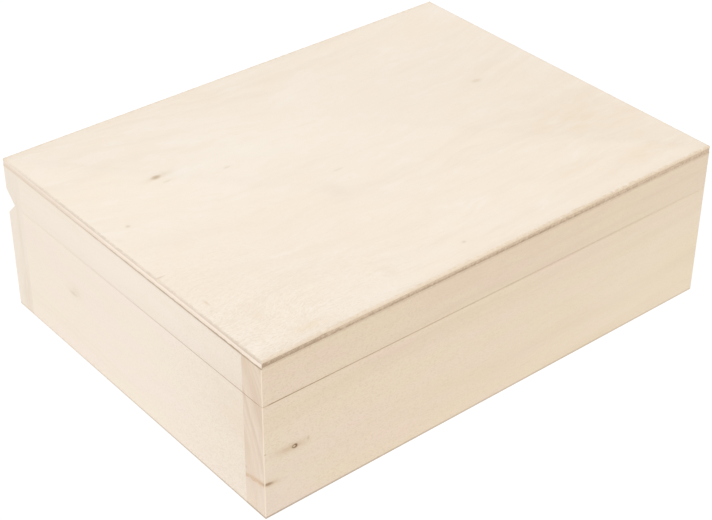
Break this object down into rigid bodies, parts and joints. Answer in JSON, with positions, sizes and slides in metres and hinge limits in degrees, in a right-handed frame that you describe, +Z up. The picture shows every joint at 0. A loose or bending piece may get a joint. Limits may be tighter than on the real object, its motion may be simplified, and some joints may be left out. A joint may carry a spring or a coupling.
{
  "type": "wooden storage box",
  "caption": "Plain pale box of glued boards with a plywood-topped lid on small butt hinges set in a V-groove along the back, for papers and keepsakes.",
  "frame": {"origin": "middle of the underside, on the surface that the box stands on", "axes": "+X along the length to the right seen from the front, +Y from the front to the hinged back, +Z up"},
  "size_m": [0.24, 0.181, 0.075],
  "materials": {
    "board_wood": "bare, fine-sanded",
    "veneer_wood": "bare, fine-sanded",
    "core_wood": "bare, sawn edges",
    "hinge_metal": "satin plating"
  },
  "bodies": {
    "base": {"base_front_board": "board_wood", "base_back_board": "board_wood", "base_left_board": "board_wood", "base_right_board": "board_wood", "bottom_panel_upper_veneer": "veneer_wood", "bottom_panel_core_veneer": "core_wood", "bottom_panel_lower_veneer": "veneer_wood", "left_hinge_base_leaf": "hinge_metal", "right_hinge_base_leaf": "hinge_metal", "left_hinge_pin": "hinge_metal", "right_hinge_pin": "hinge_metal", "base_hinge_screws": "hinge_metal"},
    "lid": {"lid_front_rail": "board_wood", "lid_back_rail": "board_wood", "lid_left_rail": "board_wood", "lid_right_rail": "board_wood", "lid_panel_face_veneer": "veneer_wood", "lid_panel_core_veneer": "core_wood", "lid_panel_back_veneer": "veneer_wood", "left_hinge_lid_leaf": "hinge_metal", "right_hinge_lid_leaf": "hinge_metal", "lid_hinge_screws": "hinge_metal"}
  },
  "joints": [
    {"name": "lid_hinge", "type": "hinge", "parent": "base", "child": "lid", "pos_m": [0, 0.08675, 0.0541], "axis": [-1, 0, 0], "range_deg": [0, 105]}
  ]
}
